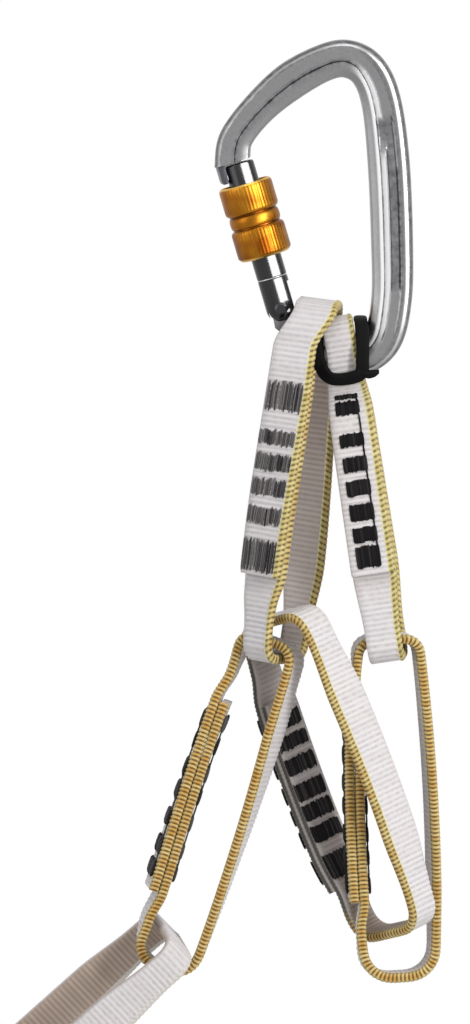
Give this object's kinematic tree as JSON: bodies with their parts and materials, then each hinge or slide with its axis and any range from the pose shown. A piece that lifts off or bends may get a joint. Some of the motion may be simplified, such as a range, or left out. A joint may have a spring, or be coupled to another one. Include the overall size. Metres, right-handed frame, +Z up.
{
  "type": "personal anchor chain",
  "caption": "Chain of sewn webbing loops hanging from a screw-lock carabiner, with one loop clipped back on its bar and the end loop held by a rubber keeper.",
  "frame": {"origin": "the middle of the carabiner's basket, the inner apex of its bow, where a bolt or a rope bears", "axes": "+X across the chain towards the spine, +Y into the picture, away from the front, +Z up along the hanging chain"},
  "size_m": [0.1978, 0.0373, 0.3685],
  "materials": {
    "polished_aluminium": "satin polished",
    "black_anodised_aluminium": "glossy black anodised",
    "rivet_steel": "plain",
    "plunger_steel": "plain",
    "spring_steel": "plain",
    "ring_steel": "bright",
    "orange_anodised_aluminium": "orange anodised, knurled",
    "black_rubber": "smooth",
    "white_webbing": "woven, ribbed across",
    "dark_thread": "dense zigzag stitching"
  },
  "bodies": {
    "carabiner": {"carabiner_body": "polished_aluminium", "gate_rivet": "rivet_steel"},
    "gate": {"gate_barrel": "black_anodised_aluminium", "gate_spring": "spring_steel"},
    "plunger": {"gate_plunger": "plunger_steel"},
    "stop_ring": {"sleeve_stop_ring": "ring_steel"},
    "sleeve": {"screw_sleeve": "orange_anodised_aluminium"},
    "shortening": {"shortening_loop_webbing": "white_webbing", "shortening_loop_stitching": "dark_thread"},
    "end": {"end_loop_webbing": "white_webbing", "end_loop_stitching": "dark_thread", "strap_keeper": "black_rubber"},
    "second": {"second_loop_webbing": "white_webbing", "second_loop_stitching": "dark_thread"},
    "third": {"third_loop_webbing": "white_webbing", "third_loop_stitching": "dark_thread"},
    "fifth": {"fifth_loop_webbing": "white_webbing", "fifth_loop_stitching": "dark_thread"},
    "harness": {"harness_loop_webbing": "white_webbing", "harness_loop_stitching": "dark_thread"}
  },
  "joints": [
    {"name": "gate_swing", "type": "hinge", "parent": "carabiner", "child": "gate", "pos_m": [-0.01855, 0, -0.0664], "axis": [0, 1, 0], "range_deg": [0, 22], "stiffness_Nm_per_rad": 0.2, "springref_deg": -34.38},
    {"name": "plunger_slide", "type": "slide", "parent": "gate", "child": "plunger", "axis": [-0.2823, 0, 0.9593], "range_m": [0, 0.0008], "deforming": ["gate_spring"]},
    {"name": "sleeve_turn", "type": "hinge", "parent": "gate", "child": "stop_ring", "pos_m": [-0.01855, 0, -0.0664], "axis": [-0.2823, 0, 0.9593], "range_deg": [-720, 720]},
    {"name": "sleeve_travel", "type": "slide", "parent": "stop_ring", "child": "sleeve", "axis": [0.2823, 0, -0.9593], "range_m": [-0.00581, 0.00581]},
    {"name": "shortening_swing", "type": "hinge", "parent": "carabiner", "child": "shortening", "pos_m": [-0.0084, 0, -0.0768], "axis": [0.8827, 0, -0.4699], "range_deg": [-8, 8]},
    {"name": "end_swing", "type": "hinge", "parent": "carabiner", "child": "end", "pos_m": [-0.0084, 0, -0.0768], "axis": [0.8827, 0, -0.4699], "range_deg": [-8.1, 8.1]},
    {"name": "third_swing", "type": "hinge", "parent": "shortening", "child": "third", "pos_m": [-0.019, 0, -0.1605], "axis": [0.992, 0, -0.126], "range_deg": [0, 18]},
    {"name": "second_swing", "type": "hinge", "parent": "end", "child": "second", "pos_m": [-0.019, 0, -0.1605], "axis": [0.992, 0, -0.126], "range_deg": [-0.1, 18.1]},
    {"name": "fifth_swing", "type": "hinge", "parent": "shortening", "child": "fifth", "pos_m": [-0.0209, -0.0012, -0.165], "axis": [-1, 0, 0], "range_deg": [0, 12]},
    {"name": "harness_swing", "type": "hinge", "parent": "fifth", "child": "harness", "pos_m": [-0.051, 0, -0.2535], "axis": [0.6606, 0, -0.7507], "range_deg": [-8, 15]}
  ],
  "couplings": [
    {"joint": "plunger_slide", "follows": "gate_swing", "m_per_rad": 0.002},
    {"joint": "sleeve_travel", "follows": "sleeve_turn", "m_per_rad": 0.00046155},
    {"joint": "end_swing", "follows": "shortening_swing", "ratio": 1},
    {"joint": "second_swing", "follows": "third_swing", "ratio": 1}
  ]
}
